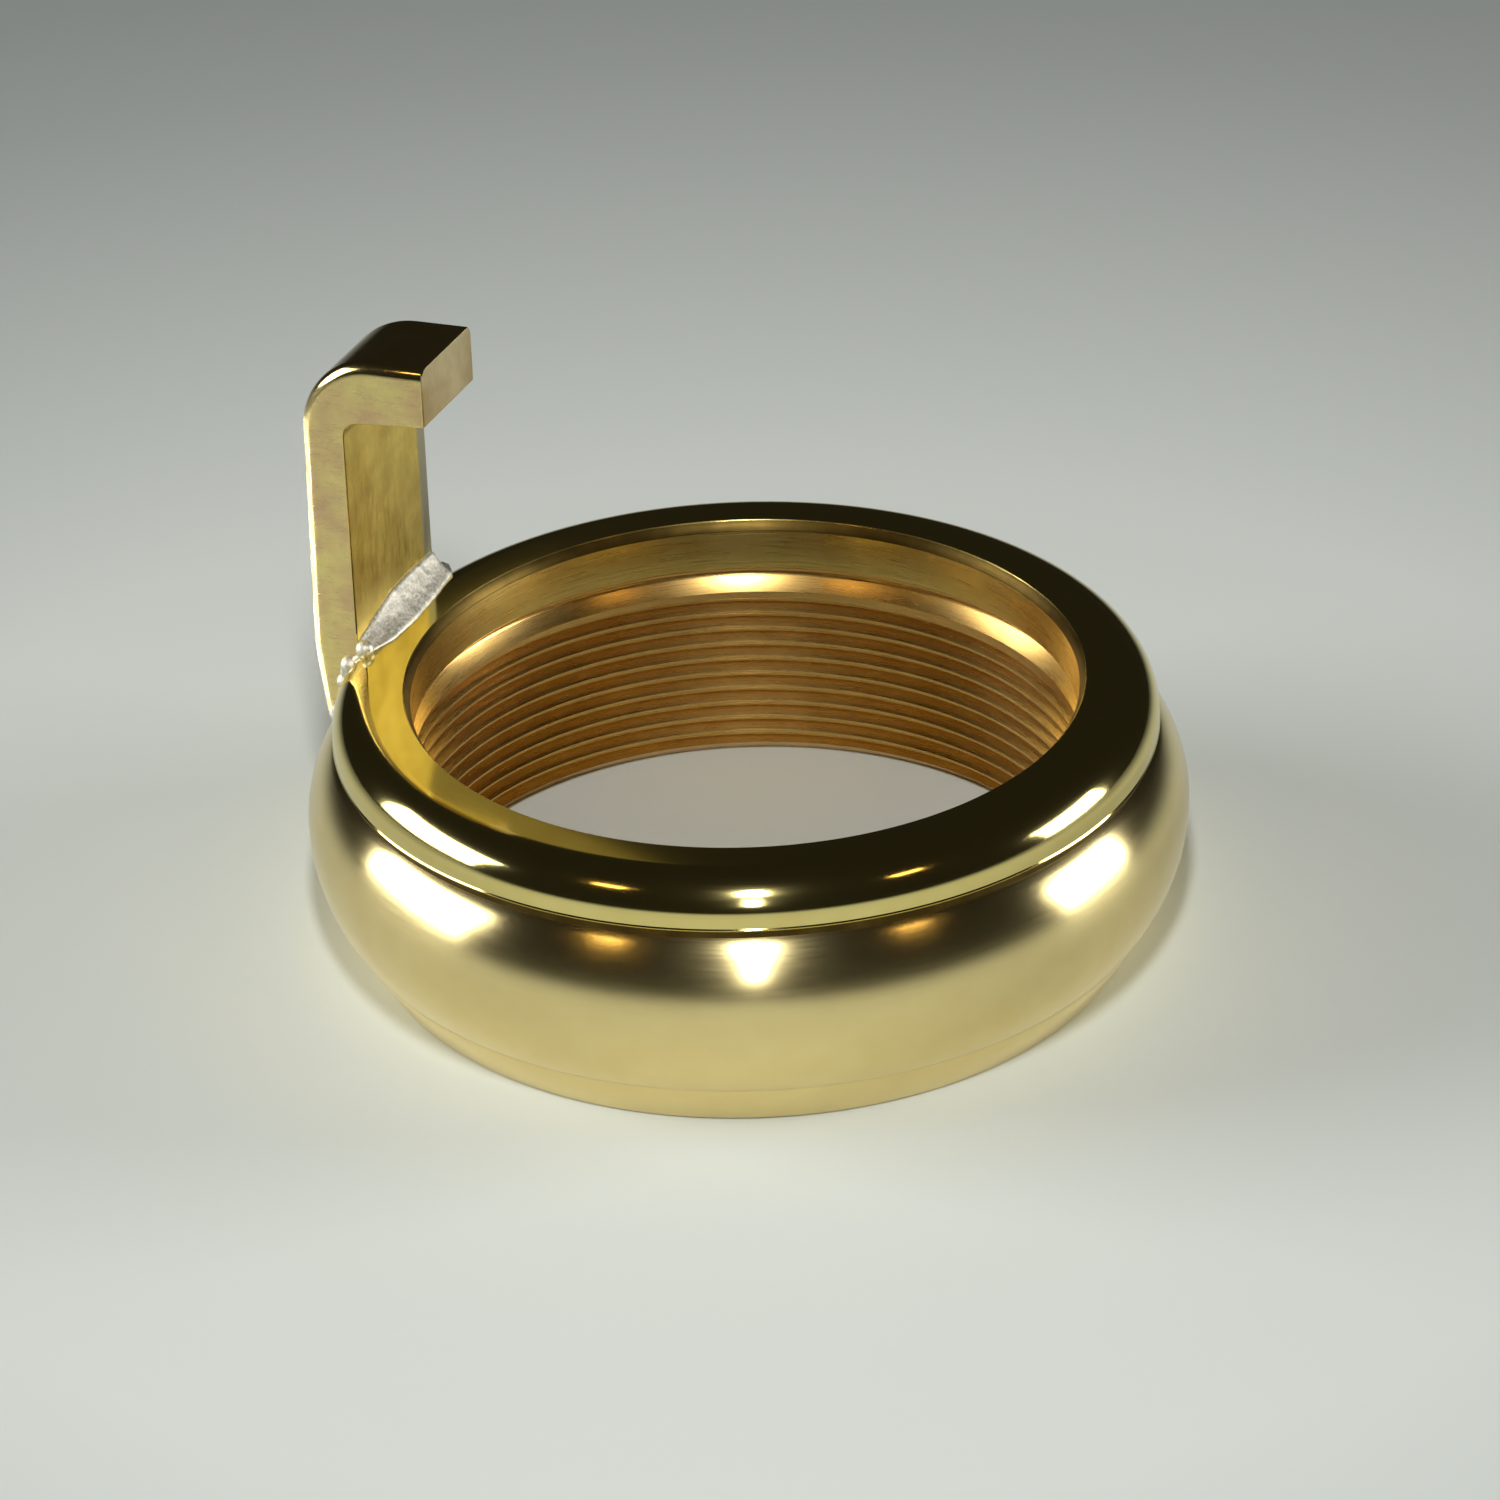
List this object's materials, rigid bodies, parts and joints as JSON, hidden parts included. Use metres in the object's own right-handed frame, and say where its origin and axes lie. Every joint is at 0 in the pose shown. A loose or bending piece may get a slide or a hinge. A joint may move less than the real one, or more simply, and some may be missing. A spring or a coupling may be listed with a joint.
{
  "type": "trombone slide-lock ring",
  "caption": "Turned brass ring with a bulged rim and a fine internal thread, and an inverted L-shaped hook silver-soldered to its top shoulder.",
  "frame": {"origin": "centre of the ring's bottom face, on the ring's axis", "axes": "+Z along the ring's axis, towards the hook's arm; the hook stands on the -X side and its width runs along Y"},
  "size_m": [0.0316, 0.0316, 0.0215],
  "materials": {
    "polished_brass": "lathe turned and buffed bright",
    "filed_brass": "filed and lightly buffed, satin inside faces",
    "silver_solder": "pickled, satin, slightly granular"
  },
  "bodies": {
    "root": {"threaded_ring": "polished_brass", "hook": "filed_brass", "solder_inner_fillet": "silver_solder", "solder_front_bead": "silver_solder", "solder_back_bead": "silver_solder", "solder_outer_bead": "silver_solder"}
  },
  "joints": []
}
